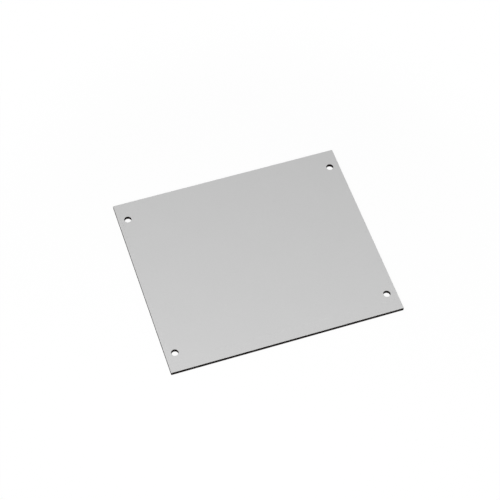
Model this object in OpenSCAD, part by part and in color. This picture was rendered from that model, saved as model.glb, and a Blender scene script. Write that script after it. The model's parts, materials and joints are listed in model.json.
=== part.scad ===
// Flat mounting plate: one rectangular sheet with four fixing holes near its corners.
// It lies flat, underside on z = 0, with the origin at the middle of the underside.
// X runs along the longer side, Y along the shorter one and Z through the sheet.

/* [Sheet] */
// Width of the plate, its longer side
plate_w = 150; // [80:1:400]
// Depth of the plate, its shorter side
plate_d = 130; // [70:1:390]
// Thickness of the sheet
plate_t = 2.5; // [1:0.5:8]

/* [Fixing holes] */
// Diameter of a fixing hole
hole_d = 4.5; // [3:0.1:8]
// Distance of the hole centres from the left and right edges
hole_inset_x = 6.25; // [5:0.25:25]
// Distance of the hole centres from the front and back edges
hole_inset_y = 13; // [5:0.25:30]

/* [Finish] */
// Width of the small 45 degree cut that breaks every outer edge
edge_break = 0.15; // [0.05:0.05:0.4]
// Width of the small 45 degree cut that breaks both rims of a hole
rim_break = 0.1; // [0.05:0.05:0.4]
// Colour of the sheet
sheet_colour = "#c6c6c6"; // [#c6c6c6:Light grey, #e9e8e4:White, #35312f:Black]

/* [Hidden] */

// How far a cutter runs past the face that it cuts
overrun = 1;
// Sides of the round cutters
round_sides = 96;
// Hole centres, measured from the middle of the plate
hole_x = plate_w / 2 - hole_inset_x;
hole_y = plate_d / 2 - hole_inset_y;

// Rectangle about the origin, with its four corners cut off at 45 degrees
module broken_rectangle(length, height, cut) {
    x = length / 2;
    y = height / 2;
    polygon([
        [-x + cut, -y],
        [x - cut, -y],
        [x, -y + cut],
        [x, y - cut],
        [x - cut, y],
        [-x + cut, y],
        [-x, y - cut],
        [-x, -y + cut]
    ]);
}

// The sheet is what its plan, front and side outlines have in common,
// so each of its twelve edges is broken by the same amount
module sheet() {
    intersection() {
        linear_extrude(height = plate_t)
            broken_rectangle(plate_w, plate_d, edge_break);
        translate([0, plate_d / 2, plate_t / 2])
            rotate([90, 0, 0])
                linear_extrude(height = plate_d)
                    broken_rectangle(plate_w, plate_t, edge_break);
        translate([-plate_w / 2, 0, plate_t / 2])
            rotate([90, 0, 90])
                linear_extrude(height = plate_w)
                    broken_rectangle(plate_d, plate_t, edge_break);
    }
}

// Cutter for one hole: straight through the sheet, opening at 45 degrees at each face.
// The flare goes on at the same slope past the face, as far as the cutter does.
module hole_cutter() {
    hole_r = hole_d / 2;
    flare_r = hole_r + rim_break + overrun;
    rotate_extrude($fn = round_sides)
        polygon([
            [0, -overrun],
            [flare_r, -overrun],
            [hole_r, rim_break],
            [hole_r, plate_t - rim_break],
            [flare_r, plate_t + overrun],
            [0, plate_t + overrun]
        ]);
}

// The finished plate, drilled once near each corner
module plate() {
    color(sheet_colour)
        difference() {
            sheet();
            for (side_x = [-1, 1], side_y = [-1, 1])
                translate([side_x * hole_x, side_y * hole_y, 0])
                    hole_cutter();
        }
}

plate();
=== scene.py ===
"""Models a drilled mounting plate of dark-cored laminate, and the stage that it lies on.

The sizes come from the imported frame. The plate is one mesh with three finishes: the pressed grey
face on both sides, the core as the saw has left it, and the core as the drill has left it.
"""
import json
import math

import bmesh
import bpy
from bpy.props import FloatProperty, FloatVectorProperty, IntProperty, PointerProperty
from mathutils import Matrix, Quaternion, Vector


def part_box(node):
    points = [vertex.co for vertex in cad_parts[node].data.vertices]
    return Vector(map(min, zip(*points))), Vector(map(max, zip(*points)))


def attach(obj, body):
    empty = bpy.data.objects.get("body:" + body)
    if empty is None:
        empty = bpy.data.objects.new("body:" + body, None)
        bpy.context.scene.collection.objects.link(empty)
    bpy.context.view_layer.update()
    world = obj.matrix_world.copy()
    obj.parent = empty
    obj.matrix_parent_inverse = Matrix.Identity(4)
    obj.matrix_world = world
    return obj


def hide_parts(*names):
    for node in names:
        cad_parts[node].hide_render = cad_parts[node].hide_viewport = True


bl_info = {
    "name": "Drilled mounting plate",
    "version": (1, 0, 0),
    "blender": (4, 5, 0),
    "location": "3D View > Sidebar > Mounting plate",
    "description": "Models a drilled laminate plate and the pale stage that it lies on",
    "category": "Add Mesh",
}

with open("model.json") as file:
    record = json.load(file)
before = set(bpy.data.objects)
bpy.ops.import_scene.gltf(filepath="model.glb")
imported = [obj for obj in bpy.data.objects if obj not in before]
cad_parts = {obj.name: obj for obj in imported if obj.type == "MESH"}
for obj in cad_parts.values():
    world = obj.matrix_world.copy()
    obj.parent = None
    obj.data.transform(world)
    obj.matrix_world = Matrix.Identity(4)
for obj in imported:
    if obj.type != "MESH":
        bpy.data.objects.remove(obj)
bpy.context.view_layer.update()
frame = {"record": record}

MM = 0.001
PLATE_LOW, PLATE_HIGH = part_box("plate")
THICKNESS = PLATE_HIGH.z - PLATE_LOW.z
MOUNTS = {mount["name"]: mount for mount in frame["record"]["mounts"]}
HOLES = MOUNTS["fixing_holes"]["dims"]
# Length of the straight wall of a hole, between its two chamfers
HOLE_WALL = MOUNTS["hole_front_left"]["dims"]["length_mm"] * MM

UP = Vector((0, 0, 1))
WHITE = (1, 1, 1, 1)

# How near a corner or a face has to be to a place to count as being there
NEAR = 0.002 * MM
# How near a corner has to be to a cut for the cut to go through it
ON_CUT = NEAR / 10
# Half the side of the square of mesh that holds a hole, in hole radii
CELL_REACH = 1.7
# Faces across the rounding of a sawn edge
ROUNDING_FACES = 3
# Edges that turn less than this are shaded as one curve
SMOOTH_ANGLE = math.radians(40)

# The finishes, in the order of the plate's material slots
GREY, SAWN, DRILLED = range(3)
# Patterns of the grey face, in patches or grains to a metre
CLOUDS = 45
FLECKS = 2600
PEBBLES = 2100
RIPPLES = 5200
# Patterns of the core, in lines or patches to a metre
PLIES = 6500
FINE_STROKES = 4200
BROAD_STROKES = 700
DRILL_SPECKS = 3000
STAINS = 260
# Rings on the wall of a hole, as the scale of a wave texture: 20 radians to a metre at a scale of 1
DRILL_RINGS = 2600
# Height of the relief on the grey face and on a cut
FACE_RELIEF = 0.020 * MM
CUT_RELIEF = 0.025 * MM
# Specular level of the grey face, of a sawn edge and of the wall of a hole
FACE_SHINE = 0.45
SAWN_SHINE = 0.05
DRILLED_SHINE = 0.02

# Outward directions of the four sawn edges
SIDES = tuple(Vector(way) for way in ((-1, 0, 0), (1, 0, 0), (0, -1, 0), (0, 1, 0)))
# A flat map of the surface, one unit square; the export bakes the finishes through a map of this name
FLAT_MAP = "OFBake"
# Clear space round each part of the map
MAP_GAP = 0.006
# Width of the part of the map that the two grey faces have, one above the other
MAP_FACES = 0.57
# Columns beside them, one for each sawn edge and one for the walls of the holes, and their width
COLUMNS = len(SIDES) + 1
COLUMN_WIDTH = (1 - MAP_FACES - (COLUMNS + 2) * MAP_GAP) / COLUMNS

# Side of the square floor, in metres
FLOOR_SIDE = 12
# The floor lies this much below the underside, so that no two faces share a plane
FLOOR_GAP = 0.02 * MM
# How white the floor is to the light that falls on it
FLOOR_TONE = (0.95, 0.95, 0.95, 1)
# Distances from the middle of the floor between which the shadow fades out of sight
SHADOW_NEAR, SHADOW_FAR = 0.11, 0.22


class PlateSizes(bpy.types.PropertyGroup):
    """Sizes of the plate"""

    width: FloatProperty(
        name="Width",
        description="Longer side of the plate",
        default=PLATE_HIGH.x - PLATE_LOW.x,
        min=0.08,
        max=0.4,
        unit="LENGTH",
    )
    depth: FloatProperty(
        name="Depth",
        description="Shorter side of the plate",
        default=PLATE_HIGH.y - PLATE_LOW.y,
        min=0.07,
        max=0.39,
        unit="LENGTH",
    )
    thickness: FloatProperty(
        name="Thickness",
        description="Thickness of the sheet",
        default=THICKNESS,
        min=0.001,
        max=0.008,
        precision=4,
        unit="LENGTH",
    )
    spacing_x: FloatProperty(
        name="Hole spacing along the width",
        description="Distance between hole centres along the longer side",
        default=HOLES["spacing_x_mm"] * MM,
        min=0.02,
        max=0.38,
        unit="LENGTH",
    )
    spacing_y: FloatProperty(
        name="Hole spacing along the depth",
        description="Distance between hole centres along the shorter side",
        default=HOLES["spacing_y_mm"] * MM,
        min=0.02,
        max=0.38,
        unit="LENGTH",
    )
    hole_radius: FloatProperty(
        name="Hole radius",
        description="Radius of a hole's wall",
        default=HOLES["hole_r_mm"] * MM,
        min=0.0015,
        max=0.004,
        precision=5,
        unit="LENGTH",
    )
    rim_break: FloatProperty(
        name="Rim chamfer",
        description="Width of the small chamfer on both rims of a hole",
        default=(THICKNESS - HOLE_WALL) / 2,
        min=0.00002,
        max=0.0004,
        precision=5,
        unit="LENGTH",
    )
    edge_break: FloatProperty(
        name="Edge rounding",
        description="How far the sawn edges are rounded off",
        default=0.00015,
        min=0.00002,
        max=0.0004,
        precision=5,
        unit="LENGTH",
    )
    layer: FloatProperty(
        name="Grey layer",
        description="Thickness of the grey layer that is pressed onto each side of the core",
        default=0.00003,
        min=0.00001,
        max=0.0003,
        precision=5,
        unit="LENGTH",
    )
    rim_sides: IntProperty(
        name="Sides of a hole",
        description="How many faces the wall of a hole has; a multiple of four",
        default=96,
        min=24,
        max=192,
        step=4,
    )


class PlateColours(bpy.types.PropertyGroup):
    """Colours of the grey layer and of the core"""

    face_pale: FloatVectorProperty(
        name="Face, paler",
        description="Paler tone of the pressed grey face",
        subtype="COLOR",
        default=(0.588, 0.588, 0.588),
        min=0,
        max=1,
    )
    face_deep: FloatVectorProperty(
        name="Face, deeper",
        description="Deeper tone of the pressed grey face",
        subtype="COLOR",
        default=(0.548, 0.548, 0.548),
        min=0,
        max=1,
    )
    core_black: FloatVectorProperty(
        name="Core, darker",
        description="Resin-rich plies of the core",
        subtype="COLOR",
        default=(0.0022, 0.0014, 0.0013),
        min=0,
        max=1,
    )
    core_brown: FloatVectorProperty(
        name="Core, browner",
        description="Paper-rich plies of the core, and the tops of the tool marks",
        subtype="COLOR",
        default=(0.0104, 0.0066, 0.0061),
        min=0,
        max=1,
    )


class StageSettings(bpy.types.PropertyGroup):
    """Camera, light and floor"""

    view_azimuth: FloatProperty(
        name="View direction",
        description="Direction of the view, clockwise from +Y seen from above",
        default=math.radians(19.13),
        subtype="ANGLE",
    )
    view_elevation: FloatProperty(
        name="View elevation",
        description="How steeply the camera looks down",
        default=math.radians(55.60),
        subtype="ANGLE",
    )
    view_roll: FloatProperty(
        name="Roll",
        description="Turn of the camera about its own axis",
        default=math.radians(0.98),
        subtype="ANGLE",
    )
    view_distance: FloatProperty(
        name="Distance",
        description="From the camera to the point that it looks at",
        default=1.0132,
        min=0.2,
        max=5,
        unit="LENGTH",
    )
    aim: FloatVectorProperty(
        name="Looks at",
        description="Point at the middle of the picture",
        default=(-0.0015, 0.0063, 0.00125),
        subtype="TRANSLATION",
        unit="LENGTH",
    )
    lens: FloatProperty(
        name="Lens",
        description="Focal length on a 36 mm wide sensor, in millimetres",
        default=115.2,
        min=20,
        max=300,
    )
    key_place: FloatVectorProperty(
        name="Key light",
        description="Middle of the large soft light",
        default=(-0.31, -0.60, 0.88),
        subtype="TRANSLATION",
        unit="LENGTH",
    )
    key_size: FloatProperty(
        name="Key light size",
        description="Side of the large soft light",
        default=0.7,
        min=0.1,
        max=2,
        unit="LENGTH",
    )
    key_power: FloatProperty(
        name="Key light power",
        description="Power of the large soft light",
        default=12.0,
        min=0,
        max=100,
        unit="POWER",
    )
    surround: FloatProperty(
        name="Surrounding light",
        description="Strength of the even light from all round",
        default=0.28,
        min=0,
        max=1,
    )
    floor_shadow: FloatProperty(
        name="Shadow on the floor",
        description="How much of the shadow the white floor shows, from 0 to 1",
        default=0.08,
        min=0,
        max=1,
        subtype="FACTOR",
    )


class Value:
    """A node's output that adds Math nodes where it is used in arithmetic"""

    def __init__(self, graph, socket):
        self.graph = graph
        self.socket = socket

    def _math(self, operation, first, second):
        return self.graph.node("ShaderNodeMath", {"operation": operation}, {0: first, 1: second})

    def __add__(self, other):
        return self._math("ADD", self, other)

    def __radd__(self, other):
        return self._math("ADD", other, self)

    def __sub__(self, other):
        return self._math("SUBTRACT", self, other)

    def __rsub__(self, other):
        return self._math("SUBTRACT", other, self)

    def __mul__(self, other):
        return self._math("MULTIPLY", self, other)

    def __rmul__(self, other):
        return self._math("MULTIPLY", other, self)

    def at_most(self, limit):
        """This value, or the limit where that is smaller"""
        return self._math("MINIMUM", self, limit)

    def beside(self, name):
        """Another output of the same node"""
        return Value(self.graph, self.socket.node.outputs[name])


class Graph:
    """The nodes of one material or world"""

    def __init__(self, owner):
        owner.use_nodes = True
        self.tree = owner.node_tree
        self.tree.nodes.clear()

    def node(self, kind, settings=None, sockets=None, output=0):
        """Add a node, set its settings, then its sockets; the result is one of its outputs"""
        node = self.tree.nodes.new(kind)
        for name, value in (settings or {}).items():
            setattr(node, name, value)
        for key, value in (sockets or {}).items():
            if isinstance(value, Value):
                self.tree.links.new(value.socket, node.inputs[key])
            else:
                node.inputs[key].default_value = value
        return Value(self, node.outputs[output]) if len(node.outputs) else None

    def place(self):
        """Place on the object, in metres"""
        return self.node("ShaderNodeTexCoord", output="Object")

    def stretched(self, place, factors):
        """The place with each of its three parts multiplied"""
        return self.node("ShaderNodeVectorMath", {"operation": "MULTIPLY"}, {0: place, 1: factors})

    def distance(self, place):
        """How far the place is from the object's origin"""
        return self.node("ShaderNodeVectorMath", {"operation": "LENGTH"}, {0: place}, output="Value")

    def noise(self, place, per_metre, detail=2.0):
        """Soft random pattern from 0 to 1, with this many patches to a metre"""
        sockets = {"Vector": place, "Scale": per_metre, "Detail": detail}
        return self.node("ShaderNodeTexNoise", sockets=sockets, output="Fac")

    def contrast(self, value):
        """Spread the middle of a soft pattern over the whole of 0 to 1"""
        return self.ramp(value, 0.34, 0.66, 0, 1)

    def pebble(self, place, per_metre):
        """Rounded grains side by side, 1 at their tops and 0 in the grooves between them"""
        settings = {"feature": "SMOOTH_F1"}
        sockets = {"Vector": place, "Scale": per_metre, "Smoothness": 0.2, "Randomness": 0.9}
        from_middle = self.node("ShaderNodeTexVoronoi", settings, sockets, output="Distance")
        return self.ramp(from_middle, 0.05, 0.70, 1, 0)

    def rings(self, place, scale):
        """Wavering bands across Z, from 0 to 1"""
        settings = {"wave_type": "BANDS", "bands_direction": "Z", "wave_profile": "SIN"}
        waver = {"Distortion": 1.5, "Detail": 2.0, "Detail Scale": 0.4}
        sockets = {"Vector": place, "Scale": scale, **waver}
        return self.node("ShaderNodeTexWave", settings, sockets, output="Fac")

    def blend(self, factor, first, second):
        """One colour turning into another, through the colour sockets of a Mix node"""
        settings = {"data_type": "RGBA", "clamp_factor": True}
        first_colour, second_colour, mixed = 6, 7, 2
        sockets = {"Factor": factor, first_colour: (*first, 1), second_colour: (*second, 1)}
        return self.node("ShaderNodeMix", settings, sockets, output=mixed)

    def ramp(self, value, start, end, at_start, at_end):
        """A value that goes smoothly from one level to another as the given one passes a stretch"""
        limits = {"From Min": start, "From Max": end, "To Min": at_start, "To Max": at_end}
        settings = {"interpolation_type": "SMOOTHSTEP"}
        return self.node("ShaderNodeMapRange", settings, {"Value": value, **limits})

    def bump(self, height, distance, strength):
        """A normal that follows this relief, which is as high as the distance"""
        sockets = {"Height": height, "Distance": distance, "Strength": strength}
        return self.node("ShaderNodeBump", sockets=sockets)

    def direct_sight(self):
        """1 for what the camera sees, straight or by reflection or through glass, and 0 otherwise"""
        straight = self.node("ShaderNodeLightPath", output="Is Camera Ray")
        reflected = straight.beside("Is Glossy Ray")
        through_glass = straight.beside("Is Transmission Ray")
        return (straight + reflected + through_glass).at_most(1)

    def surface(self, sockets):
        """End the graph in a Principled surface with these sockets"""
        shader = self.node("ShaderNodeBsdfPrincipled", sockets=sockets)
        self.node("ShaderNodeOutputMaterial", sockets={"Surface": shader})


def new_material(name):
    """A new material, and the graph of its nodes"""
    material = bpy.data.materials.new(name)
    return material, Graph(material)


def grey_face(colours):
    """Satin melamine layer: an even grey under the fine pebble that the press plate leaves"""
    material, graph = new_material("grey_face")
    place = graph.place()
    cloud = graph.noise(place, CLOUDS, detail=3)
    fleck = graph.contrast(graph.noise(place, FLECKS))
    grain = graph.pebble(place, PEBBLES)
    ripple = graph.noise(place, RIPPLES)
    tone = cloud * 0.35 + fleck * 0.30 + grain * 0.35
    graph.surface({
        "Base Color": graph.blend(tone, colours.face_deep, colours.face_pale),
        "Roughness": 0.50 - grain * 0.12 + cloud * 0.04,
        "Normal": graph.bump(grain * 0.8 + ripple * 0.2, FACE_RELIEF, 1.0),
        "Specular IOR Level": FACE_SHINE,
    })
    return material


def core_surface(name, colours, marks_of, shine):
    """The core where a tool has cut it, with the marks and the shine that this tool leaves"""
    material, graph = new_material(name)
    place = graph.place()
    marks = marks_of(graph, place)
    stain = graph.noise(place, STAINS)
    layers = plies(graph, place)
    tone = layers * 0.45 + marks * 0.40 + stain * 0.15
    graph.surface({
        "Base Color": graph.blend(tone, colours.core_black, colours.core_brown),
        "Roughness": 0.78 - marks * 0.20 - layers * 0.06,
        "Normal": graph.bump(layers * 0.35 + marks * 0.65, CUT_RELIEF, 0.7),
        "Specular IOR Level": shine,
    })
    return material


def plies(graph, place):
    """The stacked papers of the core: dark and brown lines that run along the sheet"""
    return graph.contrast(graph.noise(graph.stretched(place, (0.03, 0.03, 1.0)), PLIES, detail=1))


def saw_marks(graph, place):
    """Fine strokes across the thickness, close together in some places and sparse in others"""
    fine = graph.noise(graph.stretched(place, (1.0, 1.0, 0.06)), FINE_STROKES, detail=3)
    broad = graph.noise(graph.stretched(place, (1.0, 1.0, 0.10)), BROAD_STROKES, detail=1)
    return graph.contrast(fine) * 0.6 + broad * 0.4


def drill_marks(graph, place):
    """Close rings round the wall of a hole, broken up by fine specks"""
    return graph.rings(place, DRILL_RINGS) * 0.6 + graph.noise(place, DRILL_SPECKS, detail=3) * 0.4


def leave_all():
    """Deselect everything, in object mode"""
    if bpy.context.object is not None and bpy.context.object.mode != "OBJECT":
        bpy.ops.object.mode_set(mode="OBJECT")
    bpy.ops.object.select_all(action="DESELECT")


def pick(plate, kind, test, meant):
    """Select only those faces or edges of the plate, in edit mode, that pass the test"""
    bpy.ops.mesh.select_mode(type=kind)
    bpy.ops.mesh.select_all(action="DESELECT")
    shape = bmesh.from_edit_mesh(plate.data)
    found = [item for item in (shape.faces if kind == "FACE" else shape.edges) if test(item)]
    if not found:
        raise RuntimeError(f"the plate's mesh has no {meant}")
    for item in found:
        item.select_set(True)
    shape.select_flush_mode()
    bmesh.update_edit_mesh(plate.data)


def within(edge, centre, reach):
    """True if both ends of the edge lie in the square about a hole's centre"""
    return all(
        abs(end.co.x - centre.x) < reach and abs(end.co.y - centre.y) < reach for end in edge.verts
    )


def hole_centres(sizes):
    """Centres of the holes, on the top face"""
    return [
        Vector((side_x * sizes.spacing_x / 2, side_y * sizes.spacing_y / 2, sizes.thickness))
        for side_x in (-1, 1)
        for side_y in (-1, 1)
    ]


def cut_across(place, normal):
    """Cut every face where the plane through this place crosses it"""
    bpy.ops.mesh.select_all(action="SELECT")
    bpy.ops.mesh.bisect(plane_co=place, plane_no=normal, threshold=ON_CUT)


def lay_sheet(sizes):
    """The top face as one rectangle, cut by lines that leave a square cell about each hole"""
    bpy.ops.mesh.primitive_plane_add(size=sizes.width, calc_uvs=False, enter_editmode=True)
    plate = bpy.context.object
    plate.name = plate.data.name = "drilled_plate"
    bpy.ops.transform.resize(value=(1, sizes.depth / sizes.width, 1), center_override=(0, 0, 0))
    bpy.ops.transform.translate(value=(0, 0, sizes.thickness))
    reach = CELL_REACH * sizes.hole_radius
    for axis, spacing in ((Vector((1, 0, 0)), sizes.spacing_x), (Vector((0, 1, 0)), sizes.spacing_y)):
        for middle in (-spacing / 2, spacing / 2):
            for offset in (-reach, reach):
                cut_across(axis * (middle + offset), axis)
    return plate


def open_hole(plate, centre, sizes):
    """Open the cell about a hole's centre, and draw its border in to a circle"""
    reach = CELL_REACH * sizes.hole_radius + NEAR
    pick(plate, "FACE", lambda face: (face.calc_center_median() - centre).length < NEAR, "hole cell")
    bpy.ops.mesh.delete(type="ONLY_FACE")
    pick(plate, "EDGE", lambda edge: edge.is_boundary and within(edge, centre, reach), "cell border")
    bpy.ops.mesh.subdivide(number_cuts=sizes.rim_sides // 4 - 1)
    bpy.ops.mesh.extrude_edges_move()
    bpy.ops.transform.tosphere(value=1, center_override=centre)
    shape = bmesh.from_edit_mesh(plate.data)
    drawn = [(vertex.co - centre).length for vertex in shape.verts if vertex.select]
    # From the mean radius that the border has now to the radius of the hole
    factor = sizes.hole_radius * len(drawn) / sum(drawn)
    bpy.ops.transform.resize(value=(factor, factor, 1), center_override=centre)


def thicken(sizes):
    """Give the flat sheet its thickness, downwards"""
    bpy.ops.mesh.select_all(action="SELECT")
    bpy.ops.mesh.extrude_region_move(TRANSFORM_OT_translate={"value": (0, 0, -sizes.thickness)})
    bpy.ops.mesh.select_all(action="SELECT")
    bpy.ops.mesh.normals_make_consistent(inside=False)


def on_outline(edge, sizes):
    """True for what lies along one of the twelve edges of the sheet"""
    half_x, half_y = sizes.width / 2 - NEAR, sizes.depth / 2 - NEAR
    first, second = (end.co for end in edge.verts)
    if abs(first.z - second.z) > NEAR:
        return abs(first.x) > half_x and abs(first.y) > half_y
    same_long = abs(first.y) > half_y and abs(first.y - second.y) < NEAR
    same_short = abs(first.x) > half_x and abs(first.x - second.x) < NEAR
    return same_long or same_short


def on_rim(edge, centres, sizes):
    """True for what lies along the round rim of a hole"""
    first, second = (end.co for end in edge.verts)
    if abs(first.z - second.z) > NEAR:
        return False
    return any(
        all(abs((end - centre).xy.length - sizes.hole_radius) < NEAR for end in (first, second))
        for centre in centres
    )


def break_edges(plate, centres, sizes):
    """Round off the sawn edges and chamfer the rims of the holes"""
    pick(plate, "EDGE", lambda edge: on_outline(edge, sizes), "outer edge")
    bpy.ops.mesh.bevel(offset=sizes.edge_break, segments=ROUNDING_FACES, affect="EDGES")
    pick(plate, "EDGE", lambda edge: on_rim(edge, centres, sizes), "rim")
    bpy.ops.mesh.bevel(offset=sizes.rim_break, segments=1, affect="EDGES")


def put_finishes(plate, sizes, colours):
    """Grey for the layer on each side, and the core for what the saw and the drill have opened"""
    middle = sizes.thickness / 2
    core_reach = middle - sizes.layer
    # The grey layers end here, on the sawn edges and on the walls of the holes
    for height in (middle - core_reach, middle + core_reach):
        cut_across((0, 0, height), UP)
    edge_x = sizes.width / 2 - sizes.edge_break - NEAR
    edge_y = sizes.depth / 2 - sizes.edge_break - NEAR

    def opened(face):
        return abs(face.calc_center_median().z - middle) < core_reach

    def outer(face):
        place = face.calc_center_median()
        return abs(place.x) > edge_x or abs(place.y) > edge_y

    sawn_core = core_surface("sawn_core", colours, saw_marks, SAWN_SHINE)
    drilled_core = core_surface("drilled_core", colours, drill_marks, DRILLED_SHINE)
    finishes = {
        GREY: (grey_face(colours), lambda face: not opened(face)),
        SAWN: (sawn_core, lambda face: opened(face) and outer(face)),
        DRILLED: (drilled_core, lambda face: opened(face) and not outer(face)),
    }
    for slot, (material, wears) in finishes.items():
        plate.data.materials.append(material)
        pick(plate, "FACE", wears, f"face for {material.name}")
        plate.active_material_index = slot
        bpy.ops.object.material_slot_assign()


def shade(plate):
    """Curves shaded smooth, flats shaded flat"""
    bpy.ops.object.shade_smooth_by_angle(angle=SMOOTH_ANGLE)
    modifier = plate.modifiers.new("flat faces stay flat", "WEIGHTED_NORMAL")
    modifier.keep_sharp = True
    bpy.ops.object.modifier_apply(modifier=modifier.name)


def on_grey_face(face, point, sizes):
    """Where a point of a grey face lies on the map, the underside above the top face"""
    scale = min(MAP_FACES / sizes.width, (1 - 3 * MAP_GAP) / (2 * sizes.depth))
    upper = face.center.z > sizes.thickness / 2
    across = point.x if upper else -point.x
    bottom = MAP_GAP if upper else 2 * MAP_GAP + sizes.depth * scale
    return MAP_GAP + (across + sizes.width / 2) * scale, bottom + (point.y + sizes.depth / 2) * scale


def in_column(point, column, along, sizes):
    """Where a point of a cut lies on the map: its height runs across a column, and the cut up it"""
    left = MAP_FACES + 2 * MAP_GAP + column * (COLUMN_WIDTH + MAP_GAP)
    return left + point.z / sizes.thickness * COLUMN_WIDTH, MAP_GAP + along * (1 - 2 * MAP_GAP)


def on_sawn_edge(face, point, sizes):
    """Where a point of a sawn edge lies on the map: each edge has its own column"""
    column = max(range(len(SIDES)), key=lambda side: SIDES[side].dot(face.normal))
    way = SIDES[column].cross(UP)
    return in_column(point, column, 0.5 + point.dot(way) / max(sizes.width, sizes.depth), sizes)


def in_hole(face, point, centres, sizes):
    """Where a point of a hole's wall lies on the map: the walls share the last column"""
    hole = min(range(len(centres)), key=lambda index: (face.center - centres[index]).xy.length)

    def turn(place):
        arm = place - centres[hole]
        return math.atan2(arm.y, arm.x) / math.tau + 0.5

    # A face that crosses the seam isn't split by it: its points are counted on from its middle
    middle = turn(face.center)
    round_the_wall = middle + (turn(point) - middle + 0.5) % 1 - 0.5
    along = (hole + MAP_GAP + round_the_wall * (1 - 2 * MAP_GAP)) / len(centres)
    return in_column(point, len(SIDES), along, sizes)


def lay_out_map(plate, centres, sizes):
    """Spread the surface over the flat map, each finish apart from the others"""
    mesh = plate.data
    layer = mesh.uv_layers.new(name=FLAT_MAP)
    places = {
        GREY: lambda face, point: on_grey_face(face, point, sizes),
        SAWN: lambda face, point: on_sawn_edge(face, point, sizes),
        DRILLED: lambda face, point: in_hole(face, point, centres, sizes),
    }
    for face in mesh.polygons:
        for corner in face.loop_indices:
            point = mesh.vertices[mesh.loops[corner].vertex_index].co
            layer.uv[corner].vector = places[face.material_index](face, point)


def prove_closed(plate):
    """Stop if the mesh has an open, loose or shared edge, or is inside out"""
    shape = bmesh.new()
    shape.from_mesh(plate.data)
    bad = [edge for edge in shape.edges if not edge.is_manifold]
    volume = shape.calc_volume(signed=True)
    shape.free()
    if bad or volume <= 0:
        raise RuntimeError(f"the plate isn't closed: {len(bad)} bad edges, volume {volume:.3g}")


class MESH_OT_drilled_plate(bpy.types.Operator):
    """Model the sheet with its four holes, broken edges and three finishes"""

    bl_idname = "mesh.drilled_plate"
    bl_label = "Drilled plate"
    bl_options = {"REGISTER", "UNDO"}

    def execute(self, context):
        sizes = context.scene.plate_sizes
        centres = hole_centres(sizes)
        leave_all()
        plate = lay_sheet(sizes)
        for centre in centres:
            open_hole(plate, centre, sizes)
        thicken(sizes)
        break_edges(plate, centres, sizes)
        put_finishes(plate, sizes, context.scene.plate_colours)
        bpy.ops.object.mode_set(mode="OBJECT")
        shade(plate)
        lay_out_map(plate, centres, sizes)
        prove_closed(plate)
        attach(plate, "root")
        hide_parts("plate")
        return {"FINISHED"}


def white_floor(settings):
    """A floor that looks white and, near the plate, still shows a little of the shadow on it"""
    material, graph = new_material("white_floor")
    nearness = graph.ramp(graph.distance(graph.place()), SHADOW_NEAR, SHADOW_FAR, 1, 0)
    plain = graph.node("ShaderNodeBsdfDiffuse", sockets={"Color": FLOOR_TONE})
    white = graph.node("ShaderNodeEmission", sockets={"Color": WHITE, "Strength": 1.0})
    whiteness = graph.direct_sight() * (1 - nearness * settings.floor_shadow)
    floor = graph.node("ShaderNodeMixShader", sockets={0: whiteness, 1: plain, 2: white})
    graph.node("ShaderNodeOutputMaterial", sockets={"Surface": floor})
    return material


def lay_floor(settings):
    """A wide white floor just under the plate"""
    bpy.ops.mesh.primitive_plane_add(size=FLOOR_SIDE, location=(0, 0, PLATE_LOW.z - FLOOR_GAP))
    floor = bpy.context.object
    floor.name = "floor"
    floor.data.materials.append(white_floor(settings))


def light_surround(scene, settings):
    """Even light from all round, which the camera and reflections see as white"""
    scene.world = bpy.data.worlds.new("studio")
    graph = Graph(scene.world)
    sight = graph.direct_sight()
    strength = sight + (1 - sight) * settings.surround
    sky = graph.node("ShaderNodeBackground", sockets={"Color": WHITE, "Strength": strength})
    graph.node("ShaderNodeOutputWorld", sockets={"Surface": sky})


def hang_key_light(settings):
    """The large soft light, turned to the plate"""
    place, aim = Vector(settings.key_place), Vector(settings.aim)
    bpy.ops.object.light_add(type="AREA", location=place)
    key = bpy.context.object
    key.name = "key_light"
    key.rotation_euler = (aim - place).to_track_quat("-Z", "Y").to_euler()
    key.data.shape = "SQUARE"
    key.data.size = settings.key_size
    key.data.energy = settings.key_power


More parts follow.
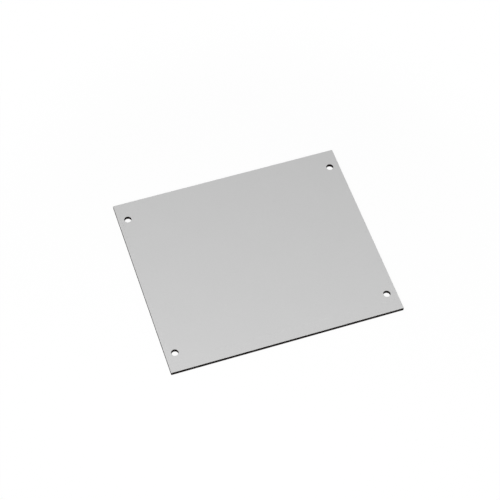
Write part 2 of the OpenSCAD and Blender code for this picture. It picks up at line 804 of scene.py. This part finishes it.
def set_camera(scene, settings):
    """Look at the plate from the front and slightly from the left, from above"""
    azimuth, elevation = settings.view_azimuth, settings.view_elevation
    forward = Vector((
        math.sin(azimuth) * math.cos(elevation),
        math.cos(azimuth) * math.cos(elevation),
        -math.sin(elevation),
    ))
    bpy.ops.object.camera_add(location=Vector(settings.aim) - forward * settings.view_distance)
    camera = bpy.context.object
    camera.name = "camera"
    camera.rotation_mode = "QUATERNION"
    roll = Quaternion(UP, settings.view_roll)
    camera.rotation_quaternion = forward.to_track_quat("-Z", "Y") @ roll
    camera.data.lens = settings.lens
    scene.camera = camera


class SCENE_OT_plate_stage(bpy.types.Operator):
    """Lay the white floor, light it softly and set the camera"""

    bl_idname = "scene.plate_stage"
    bl_label = "Stage"
    bl_options = {"REGISTER", "UNDO"}

    def execute(self, context):
        settings = context.scene.plate_stage
        leave_all()
        lay_floor(settings)
        light_surround(context.scene, settings)
        hang_key_light(settings)
        set_camera(context.scene, settings)
        context.scene.view_settings.view_transform = "Standard"
        return {"FINISHED"}


class VIEW3D_PT_mounting_plate(bpy.types.Panel):
    """Lists the operators, with the sizes, colours and settings that they use"""

    bl_idname = "VIEW3D_PT_mounting_plate"
    bl_label = "Mounting plate"
    bl_space_type = "VIEW_3D"
    bl_region_type = "UI"
    bl_category = "Mounting plate"

    def draw(self, context):
        scene = context.scene
        self.list_part(MESH_OT_drilled_plate, scene.plate_sizes, scene.plate_colours)
        self.list_part(SCENE_OT_plate_stage, scene.plate_stage)

    def list_part(self, operator, *groups):
        """One box, with the groups' values and the button that uses them"""
        box = self.layout.box()
        for group in groups:
            for name in group.__annotations__:
                box.prop(group, name)
        box.operator(operator.bl_idname)


CLASSES = (
    PlateSizes,
    PlateColours,
    StageSettings,
    MESH_OT_drilled_plate,
    SCENE_OT_plate_stage,
    VIEW3D_PT_mounting_plate,
)
GROUPS = {"plate_sizes": PlateSizes, "plate_colours": PlateColours, "plate_stage": StageSettings}


def register():
    for item in CLASSES:
        bpy.utils.register_class(item)
    for name, group in GROUPS.items():
        setattr(bpy.types.Scene, name, PointerProperty(type=group))


def unregister():
    for name in GROUPS:
        delattr(bpy.types.Scene, name)
    for item in reversed(CLASSES):
        bpy.utils.unregister_class(item)


def main():
    """Model the plate and its stage"""
    register()
    bpy.ops.mesh.drilled_plate()
    bpy.ops.scene.plate_stage()


if __name__ == "__main__":
    main()
